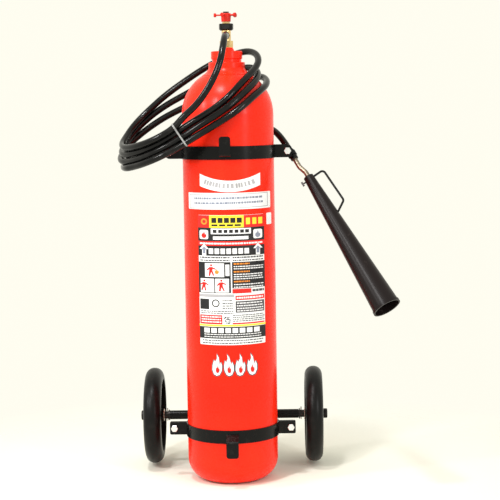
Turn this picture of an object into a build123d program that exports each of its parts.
"""Wheeled carbon dioxide fire extinguisher, built piece by piece.

Millimetres. The origin is on the floor under the cylinder's axis. +Z is up, +X is to the right and
-Y is towards the person who faces the labels. The axle lies behind the cylinder.
"""
from build123d import *
from math import cos, pi, radians, sin, sqrt, tan
import os

os.makedirs("parts", exist_ok=True)

# ---- cylinder ---------------------------------------------------------------------------------
cylinder_radius = 116.0
cylinder_wall = 7.0
shoulder_z = 937.0             # where the straight wall meets the domed top
base_knuckle = 56.0            # rounding between the wall and the foot
foot_width = 8.0               # flat ring that stands on the floor
base_dish = 24.0               # how far the base is pushed in
base_thickness = 10.0          # of the pushed-in middle
neck_radius = 32.0
neck_top = shoulder_z + cylinder_radius + 41.0
neck_lip_radius = 16.0
neck_lip_foot_radius = 21.0
neck_lip_height = 10.0
neck_bore = 13.6
collar_clearance = 0.1
collar_skirt_radius = neck_radius + 30.0
collar_foot_radius = neck_radius + 14.0
collar_groove_radius = neck_radius + 5.0
collar_top_radius = neck_radius + 7.5
collar_foot_height = 14.0
collar_groove_height = 8.0
collar_top_height = 20.0
collar_rise = 1.0              # of the collar's top above the neck's
collar_round = 2.0
skirt_edge = 0.8               # thickness of the skirt's rim on the dome
skirt_swell = 3.2              # and its thickness halfway up

# ---- valve ------------------------------------------------------------------------------------
valve_seat_z = neck_top + neck_lip_height
stem_clearance = 0.1
stem_depth = 54.0
valve_hex = 29.0
valve_hex_height = 17.0
column_radius = 11.5
column_height = 26.0
outlet_height = 29.0           # outlet's axis above the valve seat
outlet_radius = 6.5
outlet_reach = 34.0
gas_bore = 4.0
chamber_radius = 7.8
plug_clearance = 0.4
plug_height = 13.0
plug_lift = 4.4
plug_slack = 0.6               # left above the plug when the valve is open
plug_chamfer = 1.5
seat_height = 2.5
seat_gap = 0.1
spindle_radius = 4.0
spindle_screw_radius = 3.0
screw_engagement = 3.0         # how far the closed plug's top stands above the screw's tip
running_clearance = 0.06
fixed_clearance = 0.02
bonnet_radius = 18.0
bonnet_height = 17.0
bonnet_spigot = 3.0
bonnet_foot_chamfer = 3.0
bonnet_top_chamfer = 1.2
packing_radius = 7.0
packing_height = 6.0
gland_radius = 9.5
gland_height = 4.5
burst_radius = 4.0
burst_reach = 10.0
burst_hex = 14.0
burst_vent_radius = 1.5
burst_floor = 2.0              # between the burst disc and the valve's gas bore
burst_disc_thickness = 0.9
siphon_wall = 1.5
siphon_socket_radius = gas_bore + 2.5
siphon_socket_depth = 18.0
siphon_clearance = 0.1
siphon_floor_gap = 8.0

# ---- handwheel --------------------------------------------------------------------------------
wheel_gap = 0.5
hub_top_radius = 13.0
hub_foot_radius = 11.8
hub_height = 21.0
arm_count = 5
arm_radius = 1.9
arm_drop = 4.5                 # of the arms below the hub's top
knob_radius = 5.0
knob_length = 6.6
knob_round = 1.6
hub_round = 2.5
handwheel_radius = 31.0
handwheel_nut_hex = 13.0
handwheel_nut_height = 4.0

# ---- bands, lugs and hooks --------------------------------------------------------------------
band_clearance = 0.2
band_thickness = 3.0
band_height = 33.0
band_inner = cylinder_radius + band_clearance
band_outer = band_inner + band_thickness
lower_band_z = 130.5
upper_band_z = shoulder_z - 94.5
lug_reach = band_outer + 43.3
lower_lug_corner = 4.0
upper_lug_corner = 14.0
clamp_gap = 5.0
lug_face = clamp_gap / 2 + band_thickness
bolt_place = lug_reach - 12.0
bolt_radius = 5.0
bolt_hole_radius = 5.5
bolt_head_hex = 16.0
bolt_head_height = 6.4
bolt_head_chamfer = 0.7
bolt_nut_height = 8.0
bolt_tail = 3.0
hook_thickness = 4.0
hook_reach = band_outer + 30.8
hook_bend = 10.0
hook_corner = 7.0
hook_seat = 8.0                # of a hook's root above or below its band's middle
upper_hook_width = 28.0
upper_hook_x = -4.0
upper_hook_top = upper_band_z + 41.0
lower_hook_width = 31.0
lower_hook_x = 3.0
lower_hook_tip = lower_band_z - 47.5

# ---- carriage ---------------------------------------------------------------------------------
upright_radius = 13.45
upright_wall = 2.0
upright_spacing = 120.0
upright_x = upright_spacing / 2
upright_y = sqrt((band_outer + upright_radius) ** 2 - upright_x**2)
upright_foot = 60.0
upright_top = upper_band_z + 19.5
cap_thickness = 3.0
cap_spigot = 12.0
cap_clearance = 0.05
tie_height = 40.0
tie_thickness = 4.0
tie_corner = 6.0
tie_levels = (250.0, upper_band_z - 162.5)
handle_radius = 11.0
handle_wall = 2.0
handle_root_z = upright_top - 72.0
handle_bar_z = upright_top - 12.0
handle_bar_y = upright_y + 133.7
handle_bend = 26.0
handle_cope = 60.0             # how far above and below its root the handle is cut to fit the uprights
grip_thickness = 3.5
grip_length = upright_spacing - 54.0
grip_round = 2.0

# ---- axle and wheels --------------------------------------------------------------------------
wheel_radius = 127.0
floor_clearance = 6.5          # the wheels touch the floor only when the trolley is tipped back
axle_radius = 9.95
axle_bore = axle_radius + 0.1
axle_tube_radius = axle_bore + 1.95
axle_gap = 6.25                # between the uprights and the axle's tube
axle_y = upright_y + upright_radius + axle_gap + axle_tube_radius
axle_z = wheel_radius + floor_clearance
axle_tube_end = lug_reach + 9.5
plate_thickness = 6.0
plate_corner = 14.0
plate_height = 92.0
plate_margin = 10.0
washer_radius = axle_tube_radius + 2.0
washer_thickness = 3.0
washer_gap = 1.0
pin_radius = 1.5
pin_clearance = 0.1
pin_gap = 1.5                  # between the washer and the pin
pin_head = 9.0                 # how far a pin stands out of the axle above
pin_tail = 5.0                 # and below
wheel_centre = axle_tube_end + 41.0
tyre_width = 46.0
tyre_round = 22.0
rim_radius = wheel_radius - 31.0
rim_width = 38.0
rim_wall = 3.0
web_thickness = 3.5
bush_radius = axle_bore + 2.95
bush_length = 14.0
bush_flange_radius = bush_radius + 3.0
bush_flange = 1.5
hub_radius = bush_radius + 4.0
hub_length = 48.0
cap_nut_radius = axle_bore + 2.95
cap_nut_length = 10.0
cap_nut_gap = 1.0
cap_nut_round = 3.0
axle_end = wheel_centre + hub_length / 2 + bush_flange + cap_nut_gap + cap_nut_length - 4.0

# ---- hose -------------------------------------------------------------------------------------
hose_diameter = 17.0
arc_share = 0.45               # part of the shorter run that each bend takes up
union_hex = 19.0
union_length = 14.0
union_bore = outlet_radius + 0.06
ferrule_radius = 9.3
ferrule_length = 22.0
bundle_thickness = 21.0
bundle_margin = 1.0
hose_tie_band = 1.5
hose_tie_width = 5.0
hose_tie_corner = 4.0
hose_tie_gap = 0.2
tie_station = 3

# ---- discharge horn ---------------------------------------------------------------------------
horn_top = Vector(lug_reach + 40.4, -10.0, upper_band_z - 67.2)
horn_axis = Vector(0.451, -0.453, -0.769).normalized()
horn_length = 406.0
horn_top_radius = 13.2
horn_mouth_radius = 34.8
horn_rim_radius = 36.2
horn_rim_length = 7.0
horn_wall = 2.4
horn_crown = 14.0
pipe_radius = 6.3
pipe_bore = 4.0
pipe_offset = -6.5             # of the pipe's upper part from the horn's line
pipe_back = 84.0               # distances before the horn's top
pipe_bend_back = 36.0
pipe_bend_front = 15.0
pipe_bend_radius = 24.0
pipe_in_horn = 17.0
ferrule_back = 90.0            # where the hose enters the horn's ferrule
ferrule_front = 62.0
ferrule_shoulder = 5.0
horn_ferrule_radius = 10.0
ferrule_round = 1.5
jet_radius = 8.5
jet_length = 14.0
jet_face = 3.0
jet_hole_radius = 1.0
jet_hole_ring = 2.2
jet_holes = 4
rod_radius = 2.8
rod_bend = 9.0
rod_sink = 1.0                 # how far the rod's ends enter the horn's wall
rod_upper_end = 6.0
rod_lower_end = 123.0
rod_upper_corner = (41.0, 4.0)     # across from the horn's line, and along it
rod_lower_corner = (46.0, 104.0)
screw_along = 9.0
screw_radius = 2.0
screw_reach = 6.0
screw_wing = (13.0, 4.0)
screw_wing_thickness = 5.0
clip_thickness = 2.0
clip_length = 12.0
clip_arm = 6.0
clip_root = Vector(lug_reach - 5.0, lug_face - 2.5, upper_band_z - 13.0)

# ---- labels -----------------------------------------------------------------------------------
label_gap = 0.05
label_thickness = 0.3
label_corner = 2.0
label_scale = cylinder_radius / 116.0
banner_radius = 165.0
banner_depth = 28.0
label_share = 0.8              # how far the labels' datum lies from the lower band to the upper
label_datum = lower_band_z + label_share * (upper_band_z - lower_band_z)
banner_middle_z = label_datum + 73.9
label_rectangles = {           # middle X, middle Z, width, height
    "label_data": (3, label_datum + 23.4, 204, 41),
    "label_main": (6.5, label_datum - 173.6, 163, 325),
    "label_flame": (5.5, label_datum - 385.6, 111, 57),
    "label_sticker": (101, label_datum - 24.6, 12, 29),
}


def save(builder, name):
    """Give the finished piece its name and write it out."""
    builder.part.label = name
    export_step(builder.part, f"parts/{name}.step")


def hexagon(across_flats):
    """Corner radius of a hexagon with this width across its flats."""
    return across_flats / sqrt(3)


# ===============================================================================================
# Cylinder
# ===============================================================================================
foot_outer = cylinder_radius - base_knuckle
foot_inner = foot_outer - foot_width
inner_radius = cylinder_radius - cylinder_wall
inner_knuckle = base_knuckle - cylinder_wall
inner_foot = inner_radius - inner_knuckle
inner_floor = cylinder_wall + 1
dish_inside = base_dish + base_thickness
dish_middle = (foot_inner / 2, base_dish * 0.72)
under_middle = (inner_foot / 2, (dish_inside + inner_floor) / 2 + 5)

with BuildPart() as cylinder:
    with BuildSketch(Plane.XZ):
        with BuildLine():
            dish = ThreePointArc((0, base_dish), dish_middle, (foot_inner, 0))
            foot = Line(dish @ 1, (foot_outer, 0))
            knuckle = RadiusArc(foot @ 1, (cylinder_radius, base_knuckle), -base_knuckle)
            wall = Line(knuckle @ 1, (cylinder_radius, shoulder_z))
            neck_foot = (neck_radius, shoulder_z + sqrt(cylinder_radius**2 - neck_radius**2))
            dome = RadiusArc(wall @ 1, neck_foot, -cylinder_radius)
            Polyline(
                dome @ 1,
                (neck_radius, neck_top),
                (neck_lip_foot_radius, neck_top),
                (neck_lip_radius, valve_seat_z),
                (0, valve_seat_z),
                dish @ 0,
            )
        make_face()
    revolve(axis=Axis.Z)
    with BuildSketch(Plane.XZ):
        with BuildLine():
            under = ThreePointArc((0, dish_inside), under_middle, (inner_foot, inner_floor))
            corner = RadiusArc(under @ 1, (inner_radius, inner_floor + inner_knuckle), -inner_knuckle)
            side = Line(corner @ 1, (inner_radius, shoulder_z))
            bore_foot = (neck_bore, shoulder_z + sqrt(inner_radius**2 - neck_bore**2))
            roof = RadiusArc(side @ 1, bore_foot, -inner_radius)
            Polyline(roof @ 1, (neck_bore, valve_seat_z), (0, valve_seat_z), under @ 0)
        make_face()
    revolve(axis=Axis.Z, mode=Mode.SUBTRACT)
save(cylinder, "cylinder")

collar_top = neck_top + collar_rise
collar_groove_top = collar_top - collar_top_height
collar_groove_foot = collar_groove_top - collar_groove_height
collar_waist = collar_groove_foot - collar_foot_height
collar_bore = neck_radius + collar_clearance
skirt_edge_z = shoulder_z + sqrt(cylinder_radius**2 - collar_skirt_radius**2)
skirt_middle_radius = (2 * collar_foot_radius + collar_skirt_radius) / 3
skirt_middle_z = shoulder_z + sqrt(cylinder_radius**2 - skirt_middle_radius**2) + skirt_swell
with BuildPart() as neck_collar:
    with BuildSketch(Plane.XZ):
        with BuildLine():
            Polyline(
                (collar_skirt_radius, skirt_edge_z + skirt_edge),
                (collar_skirt_radius, skirt_edge_z),
                (collar_bore, skirt_edge_z),
                (collar_bore, collar_top),
                (collar_top_radius, collar_top),
                (collar_top_radius, collar_groove_top),
                (collar_groove_radius, collar_groove_top),
                (collar_groove_radius, collar_groove_foot),
                (collar_foot_radius, collar_groove_foot),
                (collar_foot_radius, collar_waist),
            )
            ThreePointArc(
                (collar_foot_radius, collar_waist),
                (skirt_middle_radius, skirt_middle_z),
                (collar_skirt_radius, skirt_edge_z + skirt_edge),
            )
        make_face()
    revolve(axis=Axis.Z)
    for ring_z in (collar_top, collar_groove_top, collar_groove_foot):
        ring = neck_collar.edges().filter_by(GeomType.CIRCLE).filter_by_position(
            Axis.Z, ring_z - label_gap, ring_z + label_gap).sort_by(SortBy.RADIUS)[-1]
        fillet(ring, collar_round)
    with BuildSketch(Plane.XZ):
        with BuildLine():
            Polyline((0, shoulder_z + cylinder_radius + collar_clearance), (0, shoulder_z),
                     (cylinder_radius + collar_clearance, shoulder_z))
            RadiusArc((cylinder_radius + collar_clearance, shoulder_z),
                      (0, shoulder_z + cylinder_radius + collar_clearance), -(cylinder_radius + collar_clearance))
        make_face()
    revolve(axis=Axis.Z, mode=Mode.SUBTRACT)
save(neck_collar, "neck_collar")

# ===============================================================================================
# Valve
# ===============================================================================================
outlet_z = valve_seat_z + outlet_height
column_top = valve_seat_z + valve_hex_height + column_height
chamber_height = seat_height + seat_gap + plug_height + plug_lift + plug_slack + bonnet_spigot
chamber_floor = column_top - chamber_height
bonnet_z = column_top
gland_z = bonnet_z + bonnet_height
packing_z = gland_z - packing_height
stem_foot = valve_seat_z - stem_depth
burst_z = valve_seat_z + valve_hex_height / 2
burst_face = valve_hex / 2
burst_depth = burst_face - gas_bore - burst_floor

with BuildPart() as valve_body:
    with BuildSketch(Plane.XY.offset(stem_foot)):
        Circle(neck_bore - stem_clearance)
    extrude(amount=stem_depth)
    with BuildSketch(Plane.XY.offset(valve_seat_z)):
        RegularPolygon(hexagon(valve_hex), 6)
    extrude(amount=valve_hex_height)
    with BuildSketch(Plane.XY.offset(valve_seat_z + valve_hex_height)):
        Circle(column_radius)
    extrude(amount=column_height)
    with BuildSketch(Plane.XZ):
        with Locations((0, outlet_z)):
            Circle(outlet_radius)
    extrude(amount=outlet_reach)
    with BuildSketch(Plane.XY.offset(stem_foot)):
        Circle(gas_bore)
    extrude(amount=column_top - stem_foot, mode=Mode.SUBTRACT)
    with BuildSketch(Plane.XY.offset(chamber_floor)):
        Circle(chamber_radius)
    extrude(amount=chamber_height, mode=Mode.SUBTRACT)
    with BuildSketch(Plane.XZ):
        with Locations((0, outlet_z)):
            Circle(gas_bore)
    extrude(amount=outlet_reach, mode=Mode.SUBTRACT)
    with BuildSketch(Plane.XZ.offset(-burst_face)):
        with Locations((0, burst_z)):
            Circle(burst_radius)
    extrude(amount=burst_face, mode=Mode.SUBTRACT)
    with BuildSketch(Plane.XY.offset(stem_foot)):
        Circle(siphon_socket_radius)
    extrude(amount=siphon_socket_depth, mode=Mode.SUBTRACT)
save(valve_body, "valve_body")

siphon_radius = siphon_socket_radius - siphon_clearance
siphon_top = stem_foot + siphon_socket_depth
siphon_foot = dish_inside + siphon_floor_gap
with BuildPart() as siphon_tube:
    with BuildSketch(Plane.XY.offset(siphon_foot)):
        Circle(siphon_radius)
        Circle(siphon_radius - siphon_wall, mode=Mode.SUBTRACT)
    extrude(amount=siphon_top - siphon_foot)
    foot_cut = Plane((0, 0, siphon_foot + siphon_radius), z_dir=(1, 0, 1))
    split(bisect_by=foot_cut, keep=Keep.TOP)
save(siphon_tube, "siphon_tube")

with BuildPart() as burst_plug:
    with BuildSketch(Plane.XZ.offset(-burst_face)):
        with Locations((0, burst_z)):
            RegularPolygon(hexagon(burst_hex), 6)
    extrude(amount=-burst_reach)
    with BuildSketch(Plane.XZ.offset(-burst_face)):
        with Locations((0, burst_z)):
            Circle(burst_radius - running_clearance)
    extrude(amount=burst_depth)
    with BuildSketch(Plane.XZ.offset(-burst_face - burst_reach)):
        with Locations((0, burst_z)):
            Circle(burst_vent_radius)
    extrude(amount=burst_reach + burst_depth, mode=Mode.SUBTRACT)
save(burst_plug, "burst_plug")

with BuildPart() as burst_disc:
    with BuildSketch(Plane.XZ.offset(-gas_bore - burst_floor / 2)):
        with Locations((0, burst_z)):
            Circle(burst_radius - running_clearance)
    extrude(amount=-burst_disc_thickness)
save(burst_disc, "burst_disc")

with BuildPart() as seat_ring:
    with BuildSketch(Plane.XY.offset(chamber_floor)):
        Circle(chamber_radius - running_clearance)
        Circle(gas_bore, mode=Mode.SUBTRACT)
    extrude(amount=seat_height)
save(seat_ring, "seat_ring")

plug_foot = chamber_floor + seat_height + seat_gap
screw_tip = plug_foot + plug_height - screw_engagement
plug_bore_floor = screw_tip - plug_lift - plug_clearance
with BuildPart() as valve_plug:
    with BuildSketch(Plane.XY.offset(plug_foot)):
        Circle(chamber_radius - plug_clearance)
    extrude(amount=plug_height)
    chamfer(valve_plug.edges().group_by(Axis.Z)[0], plug_chamfer)
    with BuildSketch(Plane.XY.offset(plug_bore_floor)):
        Circle(spindle_screw_radius + running_clearance)
    extrude(amount=plug_height, mode=Mode.SUBTRACT)
save(valve_plug, "valve_plug")

with BuildPart() as bonnet:
    with BuildSketch(Plane.XY.offset(bonnet_z)):
        RegularPolygon(bonnet_radius, 12)
    extrude(amount=bonnet_height)
    chamfer(bonnet.edges().group_by(Axis.Z)[0], bonnet_foot_chamfer)
    chamfer(bonnet.edges().group_by(Axis.Z)[-1], bonnet_top_chamfer)
    with BuildSketch(Plane.XY.offset(bonnet_z - bonnet_spigot)):
        Circle(chamber_radius - running_clearance)
    extrude(amount=bonnet_spigot)
    with BuildSketch(Plane.XY.offset(bonnet_z - bonnet_spigot)):
        Circle(spindle_radius + running_clearance)
    extrude(amount=bonnet_spigot + bonnet_height, mode=Mode.SUBTRACT)
    with BuildSketch(Plane.XY.offset(packing_z)):
        Circle(packing_radius)
    extrude(amount=packing_height, mode=Mode.SUBTRACT)
save(bonnet, "bonnet")

with BuildPart() as gland_packing:
    with BuildSketch(Plane.XY.offset(packing_z)):
        Circle(packing_radius - running_clearance)
        Circle(spindle_radius + running_clearance, mode=Mode.SUBTRACT)
    extrude(amount=packing_height)
save(gland_packing, "gland_packing")

with BuildPart() as gland_nut:
    with BuildSketch(Plane.XY.offset(gland_z)):
        RegularPolygon(gland_radius, 6)
        Circle(spindle_radius + running_clearance, mode=Mode.SUBTRACT)
    extrude(amount=gland_height)
save(gland_nut, "gland_nut")

# ===============================================================================================
# Handwheel and spindle
# ===============================================================================================
hub_foot = gland_z + gland_height + wheel_gap
hub_top = hub_foot + hub_height
arm_z = hub_top - arm_drop
arm_root = hub_foot_radius / 2

with BuildPart() as handwheel:
    with BuildSketch(Plane.XY.offset(hub_foot)):
        Circle(hub_foot_radius)
    with BuildSketch(Plane.XY.offset(hub_top)):
        Circle(hub_top_radius)
    loft()
    fillet(handwheel.edges().group_by(Axis.Z)[-1], hub_round)
    for arm in range(arm_count):
        turn = 2 * pi * (arm + 0.5) / arm_count
        across = Plane((0, 0, arm_z), x_dir=(0, 0, 1), z_dir=(cos(turn), sin(turn), 0))
        with BuildSketch(across.offset(arm_root)):
            Circle(arm_radius)
        extrude(amount=handwheel_radius - knob_length / 2 - arm_root)
        with BuildSketch(across.offset(handwheel_radius - knob_length)):
            Circle(knob_radius)
        extrude(amount=knob_length)
    knob_edges = handwheel.edges().filter_by(GeomType.CIRCLE).filter_by(
        lambda edge: abs(edge.radius - knob_radius) < fixed_clearance)
    fillet(knob_edges, knob_round)
    with BuildSketch(Plane.XY.offset(hub_foot)):
        Circle(spindle_radius + fixed_clearance)
    extrude(amount=hub_height, mode=Mode.SUBTRACT)
save(handwheel, "handwheel")

with BuildPart() as spindle:
    with BuildSketch(Plane.XY.offset(screw_tip)):
        Circle(spindle_screw_radius)
    extrude(amount=hub_top - screw_tip + handwheel_nut_height)
    with BuildSketch(Plane.XY.offset(column_top - bonnet_spigot)):
        Circle(spindle_radius)
    extrude(amount=hub_top - column_top + bonnet_spigot)
save(spindle, "spindle")

with BuildPart() as handwheel_nut:
    with BuildSketch(Plane.XY.offset(hub_top)):
        RegularPolygon(hexagon(handwheel_nut_hex), 6)
        Circle(spindle_screw_radius + fixed_clearance, mode=Mode.SUBTRACT)
    extrude(amount=handwheel_nut_height)
save(handwheel_nut, "handwheel_nut")

# ===============================================================================================
# Bands that clamp the cylinder to its carriage
# ===============================================================================================
bands = {"lower": lower_band_z, "upper": upper_band_z}
lug_corners = {"lower": lower_lug_corner, "upper": upper_lug_corner}
lug_root = band_outer - band_thickness * 0.6
halves = {"front": -1, "rear": 1}

for level, band_z in bands.items():
    for half_name, side in halves.items():
        lug_y = side * (clamp_gap + band_thickness) / 2
        with BuildPart() as band_half:
            with BuildSketch(Plane.XY.offset(band_z - band_height / 2)):
                Circle(band_outer)
                Circle(band_inner, mode=Mode.SUBTRACT)
                with Locations((0, -side * (band_outer - clamp_gap / 2))):
                    Rectangle(3 * band_outer, 2 * band_outer, mode=Mode.SUBTRACT)
                for x in (-1, 1):
                    with Locations((x * (lug_root + lug_reach) / 2, lug_y)):
                        Rectangle(lug_reach - lug_root, band_thickness)
            extrude(amount=band_height)
            ends = band_half.edges().filter_by(Axis.Y)
            fillet(ends.group_by(Axis.X)[0] + ends.group_by(Axis.X)[-1], lug_corners[level])
            with BuildSketch(Plane.XZ):
                with Locations((-bolt_place, band_z), (bolt_place, band_z)):
                    Circle(bolt_hole_radius)
            extrude(amount=clamp_gap + 2 * band_thickness, both=True, mode=Mode.SUBTRACT)
        save(band_half, f"band_{level}_{half_name}")

bolt_places = [(x, z) for z in bands.values() for x in (-bolt_place, bolt_place)]

with BuildPart() as band_bolts:
    with BuildSketch(Plane.XZ.offset(lug_face)):
        with Locations(*bolt_places):
            RegularPolygon(hexagon(bolt_head_hex), 6)
    extrude(amount=bolt_head_height)
    chamfer(band_bolts.faces().filter_by(Plane.XZ).group_by(Axis.Y)[0].edges(), bolt_head_chamfer)
    with BuildSketch(Plane.XZ.offset(lug_face)):
        with Locations(*bolt_places):
            Circle(bolt_radius)
    extrude(amount=-(2 * lug_face + bolt_nut_height + bolt_tail))
save(band_bolts, "band_bolts")

with BuildPart() as band_nuts:
    with BuildSketch(Plane.XZ.offset(-lug_face)):
        with Locations(*bolt_places):
            RegularPolygon(hexagon(bolt_head_hex), 6)
            Circle(bolt_radius + fixed_clearance, mode=Mode.SUBTRACT)
    extrude(amount=-bolt_nut_height)
save(band_nuts, "band_nuts")

# ---- hose hooks, welded to the front halves ----
upper_seat_z = upper_band_z - hook_seat
with BuildPart() as upper_hook:
    with BuildSketch(Plane.YZ.offset(upper_hook_x - upper_hook_width / 2)):
        with BuildLine():
            FilletPolyline(
                (-band_inner, upper_seat_z),
                (-hook_reach, upper_seat_z),
                (-hook_reach, upper_hook_top),
                radius=hook_bend,
            )
            offset(amount=hook_thickness, side=Side.RIGHT)
        make_face()
    extrude(amount=upper_hook_width)
    tip = upper_hook.edges().filter_by(Axis.Y).group_by(Axis.Z)[-1]
    fillet(tip, hook_corner)
    with BuildSketch(Plane.XY):
        Circle(band_outer)
    extrude(amount=neck_top, mode=Mode.SUBTRACT)
save(upper_hook, "upper_hook")

lower_seat_z = lower_band_z + hook_seat + 2
lower_knee_z = lower_band_z - hook_seat
with BuildPart() as lower_hook:
    with BuildSketch(Plane.YZ.offset(lower_hook_x - lower_hook_width / 2)):
        with BuildLine():
            FilletPolyline(
                (-band_inner, lower_seat_z),
                (-hook_reach, lower_knee_z),
                (-hook_reach, lower_hook_tip),
                radius=hook_bend,
            )
            offset(amount=hook_thickness, side=Side.LEFT)
        make_face()
    extrude(amount=lower_hook_width)
    tip = lower_hook.edges().filter_by(Axis.Y).group_by(Axis.Z)[0]
    fillet(tip, hook_corner)
    with BuildSketch(Plane.XY):
        Circle(band_outer)
    extrude(amount=neck_top, mode=Mode.SUBTRACT)
save(lower_hook, "lower_hook")

# ===============================================================================================
# Carriage behind the cylinder
# ===============================================================================================
upright_sides = {"left": -1, "right": 1}

for side_name, side in upright_sides.items():
    with BuildPart() as upright:
        with BuildSketch(Plane((side * upright_x, upright_y, upright_foot))):
            Circle(upright_radius)
            Circle(upright_radius - upright_wall, mode=Mode.SUBTRACT)
        extrude(amount=upright_top - upright_foot)
    save(upright, f"upright_{side_name}")

spigot_radius = upright_radius - upright_wall - cap_clearance
upright_places = [(-upright_x, upright_y), (upright_x, upright_y)]
with BuildPart() as upright_caps:
    for end_z, way in ((upright_foot, -1), (upright_top, 1)):
        with BuildSketch(Plane.XY.offset(end_z)):
            with Locations(*upright_places):
                Circle(upright_radius)
        extrude(amount=way * cap_thickness)
        with BuildSketch(Plane.XY.offset(end_z)):
            with Locations(*upright_places):
                Circle(spigot_radius)
        extrude(amount=-way * cap_spigot)
save(upright_caps, "upright_caps")

tie_y = upright_y + upright_radius
for tie_name, tie_z in zip(("lower", "upper"), tie_levels):
    with BuildPart() as tie:
        with BuildSketch(Plane.XZ.offset(-tie_y)):
            with Locations((0, tie_z)):
                RectangleRounded(upright_spacing + 2 * upright_radius, tie_height, tie_corner)
        extrude(amount=-tie_thickness)
    save(tie, f"cross_tie_{tie_name}")

plate_width = axle_y - upright_y + 2 * (axle_tube_radius + plate_margin)
for side_name, side in upright_sides.items():
    plate_x = side * (upright_x + upright_radius)
    with BuildPart() as axle_plate:
        with BuildSketch(Plane.YZ.offset(plate_x)):
            with Locations(((upright_y + axle_y) / 2, axle_z)):
                RectangleRounded(plate_width, plate_height, plate_corner)
            with Locations((axle_y, axle_z)):
                Circle(axle_tube_radius, mode=Mode.SUBTRACT)
        extrude(amount=side * plate_thickness)
    save(axle_plate, f"axle_plate_{side_name}")

handle_root = (upright_y, handle_root_z)
handle_way = (0, handle_bar_y - upright_y, handle_bar_z - handle_root_z)
with BuildPart() as pull_handle:
    with BuildLine():
        FilletPolyline(
            (-upright_x, *handle_root),
            (-upright_x, handle_bar_y, handle_bar_z),
            (upright_x, handle_bar_y, handle_bar_z),
            (upright_x, *handle_root),
            radius=handle_bend,
        )
    with BuildSketch(Plane((-upright_x, *handle_root), z_dir=handle_way)):
        Circle(handle_radius)
        Circle(handle_radius - handle_wall, mode=Mode.SUBTRACT)
    sweep()
    with BuildSketch(Plane.XY.offset(handle_root_z - handle_cope)):
        with Locations(*upright_places):
            Circle(upright_radius)
    extrude(amount=2 * handle_cope, mode=Mode.SUBTRACT)
save(pull_handle, "pull_handle")

grip_end = Plane((-grip_length / 2, handle_bar_y, handle_bar_z), z_dir=(1, 0, 0))
with BuildPart() as handle_grip:
    with BuildSketch(grip_end):
        Circle(handle_radius + grip_thickness)
    extrude(amount=grip_length)
    fillet(handle_grip.edges(), grip_round)
    with BuildSketch(grip_end):
        Circle(handle_radius + running_clearance)
    extrude(amount=grip_length, mode=Mode.SUBTRACT)
save(handle_grip, "handle_grip")

# ===============================================================================================
# Axle and wheels
# ===============================================================================================
def axle_plane(x, side=1):
    """Plane square to the axle at x, looking outwards on that side."""
    return Plane((x, axle_y, axle_z), x_dir=(0, 1, 0), z_dir=(side, 0, 0))


pin_x = axle_tube_end + washer_gap + washer_thickness + pin_gap + pin_radius

with BuildPart() as axle:
    with BuildSketch(axle_plane(-axle_end)):
        Circle(axle_radius)
    extrude(amount=2 * axle_end)
    with BuildSketch(Plane.XY.offset(axle_z - axle_tube_radius)):
        with Locations((-pin_x, axle_y), (pin_x, axle_y)):
            Circle(pin_radius + pin_clearance)
    extrude(amount=2 * axle_tube_radius, mode=Mode.SUBTRACT)
save(axle, "axle")

with BuildPart() as axle_tube:
    with BuildSketch(axle_plane(-axle_tube_end)):
        Circle(axle_tube_radius)
        Circle(axle_bore, mode=Mode.SUBTRACT)
    extrude(amount=2 * axle_tube_end)
save(axle_tube, "axle_tube")

with BuildPart() as axle_washers:
    for side in upright_sides.values():
        with BuildSketch(axle_plane(side * (axle_tube_end + washer_gap), side)):
            Circle(washer_radius)
            Circle(axle_bore, mode=Mode.SUBTRACT)
        extrude(amount=washer_thickness)
save(axle_washers, "axle_washers")

with BuildPart() as split_pins:
    with BuildSketch(Plane.XY.offset(axle_z - axle_radius - pin_tail)):
        with Locations((-pin_x, axle_y), (pin_x, axle_y)):
            Circle(pin_radius)
    extrude(amount=2 * axle_radius + pin_tail + pin_head)
save(split_pins, "split_pins")

cap_nut_start = wheel_centre + hub_length / 2 + bush_flange + cap_nut_gap
with BuildPart() as axle_caps:
    for side in upright_sides.values():
        with BuildSketch(axle_plane(side * cap_nut_start, side)):
            Circle(cap_nut_radius)
        extrude(amount=cap_nut_length)
    for end in (0, -1):
        fillet(axle_caps.faces().filter_by(GeomType.PLANE).group_by(Axis.X)[end].edges(), cap_nut_round)
    with BuildSketch(axle_plane(-axle_end)):
        Circle(axle_bore)
    extrude(amount=2 * axle_end, mode=Mode.SUBTRACT)
save(axle_caps, "axle_caps")

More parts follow.
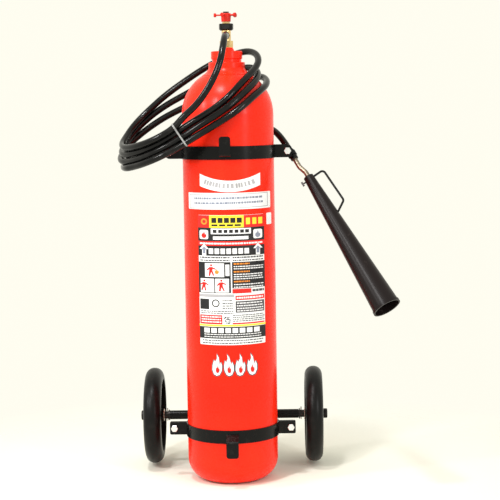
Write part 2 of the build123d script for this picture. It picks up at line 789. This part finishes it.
for side_name, side in upright_sides.items():
    centre = side * wheel_centre
    with BuildPart() as tyre:
        with BuildSketch(axle_plane(centre - tyre_width / 2)):
            Circle(wheel_radius)
            Circle(rim_radius, mode=Mode.SUBTRACT)
        extrude(amount=tyre_width)
        crowns = tyre.edges().filter_by(GeomType.CIRCLE).filter_by(
            lambda edge: abs(edge.radius - wheel_radius) < fixed_clearance)
        fillet(crowns, tyre_round)
    save(tyre, f"tyre_{side_name}")

    with BuildPart() as wheel_rim:
        with BuildSketch(axle_plane(centre - rim_width / 2)):
            Circle(rim_radius)
            Circle(rim_radius - rim_wall, mode=Mode.SUBTRACT)
        extrude(amount=rim_width)
        with BuildSketch(axle_plane(centre - web_thickness / 2)):
            Circle(rim_radius - rim_wall / 2)
        extrude(amount=web_thickness)
        with BuildSketch(axle_plane(centre - hub_length / 2)):
            Circle(hub_radius)
        extrude(amount=hub_length)
        with BuildSketch(axle_plane(centre - hub_length / 2)):
            Circle(bush_radius)
        extrude(amount=hub_length, mode=Mode.SUBTRACT)
    save(wheel_rim, f"wheel_rim_{side_name}")

    with BuildPart() as bushes:
        for way in (-1, 1):
            with BuildSketch(axle_plane(centre + way * hub_length / 2, way)):
                Circle(bush_flange_radius)
            extrude(amount=bush_flange)
            with BuildSketch(axle_plane(centre + way * hub_length / 2, way)):
                Circle(bush_radius - fixed_clearance)
            extrude(amount=-bush_length)
        with BuildSketch(axle_plane(centre - hub_length)):
            Circle(axle_bore)
        extrude(amount=2 * hub_length, mode=Mode.SUBTRACT)
    save(bushes, f"wheel_bushes_{side_name}")

# ===============================================================================================
# Discharge horn, in its own frame: local Z runs down the horn, local X points to its handle side
# ===============================================================================================
handle_side = horn_axis.cross(Vector(0, 1, 0)).normalized()
horn_frame = Plane(horn_top, x_dir=handle_side, z_dir=horn_axis)
horn_line = Axis(horn_top, horn_axis)


def horn_radius(distance):
    """Outer radius of the horn this far down from its top."""
    return horn_top_radius + (horn_mouth_radius - horn_top_radius) * distance / horn_length


def horn_place(across, along):
    """Point in the horn's handle plane, across from its line and along it."""
    return horn_top + handle_side * across + horn_axis * along


with BuildPart() as horn:
    with BuildSketch(horn_frame):
        Circle(horn_radius(0))
    with BuildSketch(horn_frame.offset(horn_length)):
        Circle(horn_mouth_radius)
    loft()
    with BuildSketch(horn_frame.offset(horn_length - horn_rim_length)):
        Circle(horn_rim_radius)
    extrude(amount=horn_rim_length)
    with BuildSketch(horn_frame.offset(horn_crown)):
        Circle(horn_radius(horn_crown) - horn_wall)
    with BuildSketch(horn_frame.offset(horn_length)):
        Circle(horn_mouth_radius - horn_wall)
    loft(mode=Mode.SUBTRACT)
    with BuildSketch(horn_frame):
        Circle(pipe_radius + running_clearance)
    extrude(amount=horn_crown, mode=Mode.SUBTRACT)
save(horn, "horn")

pipe_start = horn_place(pipe_offset, -pipe_back)
with BuildPart() as horn_pipe:
    with BuildLine():
        FilletPolyline(
            pipe_start,
            horn_place(pipe_offset, -pipe_bend_back),
            horn_place(0, -pipe_bend_front),
            horn_place(0, pipe_in_horn),
            radius=pipe_bend_radius,
        )
    with BuildSketch(Plane(pipe_start, z_dir=horn_axis)):
        Circle(pipe_radius)
        Circle(pipe_bore, mode=Mode.SUBTRACT)
    sweep()
save(horn_pipe, "horn_pipe")

with BuildPart() as horn_jet:
    with BuildSketch(horn_frame.offset(pipe_in_horn)):
        Circle(jet_radius)
    extrude(amount=jet_length)
    with BuildSketch(horn_frame.offset(pipe_in_horn)):
        Circle(pipe_bore)
    extrude(amount=jet_length - jet_face, mode=Mode.SUBTRACT)
    with BuildSketch(horn_frame.offset(pipe_in_horn)):
        with PolarLocations(jet_hole_ring, jet_holes):
            Circle(jet_hole_radius)
    extrude(amount=jet_length, mode=Mode.SUBTRACT)
save(horn_jet, "horn_jet")

rod_start = horn_place(horn_top_radius - rod_sink, rod_upper_end)
rod_corner = horn_place(*rod_upper_corner)
with BuildPart() as horn_handle:
    with BuildLine():
        FilletPolyline(
            rod_start,
            rod_corner,
            horn_place(*rod_lower_corner),
            horn_place(horn_radius(rod_lower_end) - rod_sink, rod_lower_end),
            radius=rod_bend,
        )
    with BuildSketch(Plane(rod_start, z_dir=rod_corner - rod_start)):
        Circle(rod_radius)
    sweep()
save(horn_handle, "horn_handle")

screw_plane = Plane(horn_place(0, screw_along), x_dir=horn_axis, z_dir=handle_side * -1)
screw_tip_radius = pipe_radius + running_clearance
with BuildPart() as horn_screw:
    with BuildSketch(screw_plane.offset(screw_tip_radius)):
        Circle(screw_radius)
    extrude(amount=horn_top_radius + screw_reach - screw_tip_radius)
    with BuildSketch(screw_plane.offset(horn_top_radius + screw_reach)):
        SlotOverall(*screw_wing)
    extrude(amount=screw_wing_thickness)
save(horn_screw, "horn_screw")

# ---- ferrule on the hose's end, and the clip that holds it to the band ----
pipe_frame = Plane(horn_place(pipe_offset, 0), x_dir=handle_side, z_dir=horn_axis)
with BuildPart() as horn_ferrule:
    with BuildSketch(pipe_frame.offset(-ferrule_back)):
        Circle(horn_ferrule_radius)
    extrude(amount=ferrule_back - ferrule_front)
    fillet(horn_ferrule.faces().sort_by(horn_line)[-1].edges(), ferrule_round)
    with BuildSketch(pipe_frame.offset(-pipe_back)):
        Circle(pipe_radius + fixed_clearance)
    extrude(amount=pipe_back, mode=Mode.SUBTRACT)
    with BuildSketch(pipe_frame.offset(-ferrule_back)):
        Circle(pipe_bore)
    extrude(amount=ferrule_back, mode=Mode.SUBTRACT)
save(horn_ferrule, "horn_ferrule")

clip_back = ferrule_back - ferrule_shoulder
clip_seat = horn_place(pipe_offset, -clip_back + clip_length / 2)
clip_way = clip_seat - clip_root
with BuildPart() as horn_clip:
    with BuildSketch(pipe_frame.offset(-clip_back)):
        Circle(horn_ferrule_radius + clip_thickness)
    extrude(amount=clip_length)
    with BuildSketch(Plane(clip_root, z_dir=clip_way)):
        Rectangle(clip_arm, clip_arm)
    extrude(amount=clip_way.length - horn_ferrule_radius)
    with BuildSketch(pipe_frame.offset(-ferrule_back - clip_length)):
        Circle(horn_ferrule_radius + fixed_clearance)
    extrude(amount=ferrule_back, mode=Mode.SUBTRACT)
    with BuildSketch(Plane.XZ.offset(-lug_face)):
        with Locations((clip_root.X, clip_root.Z)):
            Rectangle(10 * clip_arm, 10 * clip_arm)
    extrude(amount=lug_reach, mode=Mode.SUBTRACT)
save(horn_clip, "horn_clip")

# ===============================================================================================
# Hose: union at the valve, free lead, hank of three loops, free tail to the horn
# ===============================================================================================
union_y = -(outlet_reach - union_length)
hose_start_y = union_y - union_length - ferrule_length

with BuildPart() as union_nut:
    with BuildSketch(Plane.XZ.offset(-union_y)):
        with Locations((0, outlet_z)):
            RegularPolygon(hexagon(union_hex), 6)
            Circle(union_bore, mode=Mode.SUBTRACT)
    extrude(amount=union_length)
save(union_nut, "union_nut")

with BuildPart() as valve_ferrule:
    with BuildSketch(Plane.XZ.offset(-union_y + union_length)):
        with Locations((0, outlet_z)):
            Circle(ferrule_radius)
            Circle(gas_bore, mode=Mode.SUBTRACT)
    extrude(amount=ferrule_length)
save(valve_ferrule, "valve_ferrule")

hose_lead_route = [
    (0, hose_start_y, outlet_z),
    (0, -104, outlet_z),
    (-3, -147, 1106),
    (-11, -171, 1060),
    (-34, -176, 1010),
    (-68, -164, 963),
    (-103, -142, 934),
]

tail_end = horn_place(pipe_offset, -ferrule_back)
before_tail_end = horn_place(pipe_offset, -ferrule_back - 36)
hose_tail_route = [
    (-271, 20, 807),
    (-250, 87, 836),
    (-196, 129, 876),
    (-117, 151, 903),
    (-26, 155, 911),
    (60, 134, 908),
    (112, 89, 899),
    tuple(before_tail_end),
    tuple(tail_end),
]


def bend_radii(route):
    """One radius for each corner: the largest that its two runs leave room for."""
    points = [Vector(*point) for point in route]
    radii = []
    for before, here, after in zip(points, points[1:], points[2:]):
        turn = radians((here - before).get_angle(after - here))
        radii.append(arc_share * min((here - before).length, (after - here).length) / tan(turn / 2))
    return radii


for hose_name, route in (("hose_lead", hose_lead_route), ("hose_tail", hose_tail_route)):
    radii = bend_radii(route)
    print(hose_name, "bend radii", [round(radius) for radius in radii])
    with BuildPart() as hose:
        with BuildLine() as path:
            FilletPolyline(*route, radius=radii)
        first_way = Vector(*route[1]) - Vector(*route[0])
        with BuildSketch(Plane(route[0], z_dir=first_way)):
            Circle(hose_diameter / 2)
        sweep()
    length = path.wires()[0].length
    section = pi * hose_diameter**2 / 4
    print(hose_name, "length", round(length), "volume / (section x length)",
          round(hose.part.volume / (section * length), 4))
    save(hose, hose_name)

# The hank's loops lie one above another: (highest turn), (lowest turn) at stations round it.
hank_stations = [
    ((-264, -15, 866), (-272, -15, 804)),
    ((-222, -92, 868), (-226, -92, 810)),
    ((-170, -126, 889), (-172, -127, 829)),
    ((-143, -131, 911), (-105, -136, 874)),
    ((-45, -133, 946), (-45, -135, 903)),
    ((-9, -130, 972), (-9, -134, 927)),
    ((30, -120, 1005), (30, -132, 951)),
    ((59, -88, 1036), (65, -116, 975)),
    ((75, -39, 1060), (95, -72, 998)),
    ((78, 8, 1076), (104, -5, 1018)),
    ((66, 45, 1088), (88, 50, 1030)),
    ((35, 70, 1088), (50, 98, 1014)),
    ((-10, 80, 1074), (0, 119, 992)),
    ((-55, 88, 1057), (-55, 122, 972)),
    ((-101, 97, 1035), (-105, 122, 955)),
    ((-148, 104, 1006), (-150, 118, 937)),
    ((-202, 98, 964), (-202, 108, 908)),
    ((-243, 72, 922), (-243, 76, 872)),
    ((-261, 30, 886), (-268, 30, 830)),
]


def hank_section(number):
    """Plane and height of the hank's cross-section at one station."""
    count = len(hank_stations)
    high, low = (Vector(*point) for point in hank_stations[number % count])
    after = sum((Vector(*point) for point in hank_stations[(number + 1) % count]), Vector())
    before = sum((Vector(*point) for point in hank_stations[(number - 1) % count]), Vector())
    upwards = (high - low).normalized()
    along = after - before
    outwards = along.cross(upwards)
    plane = Plane((high + low) / 2, x_dir=upwards, z_dir=upwards.cross(outwards) * -1)
    return plane, (high - low).length + hose_diameter + 2 * bundle_margin


hank_count = len(hank_stations)
hank_halves = ((0, hank_count // 2), (hank_count // 2, hank_count))
with BuildPart() as hose_hank:
    for first, last in hank_halves:
        for number in range(first, last + 1):
            plane, height = hank_section(number)
            with BuildSketch(plane):
                Rectangle(height, bundle_thickness)
        loft(ruled=True)
save(hose_hank, "hose_hank")

tie_plane, bundle_height = hank_section(tie_station)
with BuildPart() as hose_tie:
    with BuildSketch(tie_plane):
        RectangleRounded(bundle_height + 2 * hose_tie_band, bundle_thickness + 2 * hose_tie_band, hose_tie_corner)
        Rectangle(bundle_height + hose_tie_gap, bundle_thickness + hose_tie_gap, mode=Mode.SUBTRACT)
    extrude(amount=hose_tie_width / 2, both=True)
save(hose_tie, "hose_tie")

# ===============================================================================================
# Labels: thin sheets that follow the cylinder's wall
# ===============================================================================================
wall_shell_outer = cylinder_radius + label_gap + label_thickness
wall_shell_inner = cylinder_radius + label_gap

for label_name, (x, z, width, height) in label_rectangles.items():
    with BuildPart() as label:
        with BuildSketch(Plane.XZ):
            with Locations((x * label_scale, z)):
                RectangleRounded(width * label_scale, height, label_corner)
        extrude(amount=wall_shell_outer)
        with BuildSketch(Plane.XY):
            Circle(wall_shell_outer)
            Circle(wall_shell_inner, mode=Mode.SUBTRACT)
        extrude(amount=shoulder_z, mode=Mode.INTERSECT)
    save(label, label_name)

with BuildPart() as label_banner:
    with BuildSketch(Plane.XZ):
        with Locations((6 * label_scale, banner_middle_z + banner_radius)):
            Circle(banner_radius + banner_depth)
            Circle(banner_radius, mode=Mode.SUBTRACT)
        with Locations((6 * label_scale, banner_middle_z)):
            Rectangle(150 * label_scale, 100, mode=Mode.INTERSECT)
    extrude(amount=wall_shell_outer)
    with BuildSketch(Plane.XY):
        Circle(wall_shell_outer)
        Circle(wall_shell_inner, mode=Mode.SUBTRACT)
    extrude(amount=shoulder_z, mode=Mode.INTERSECT)
save(label_banner, "label_banner")
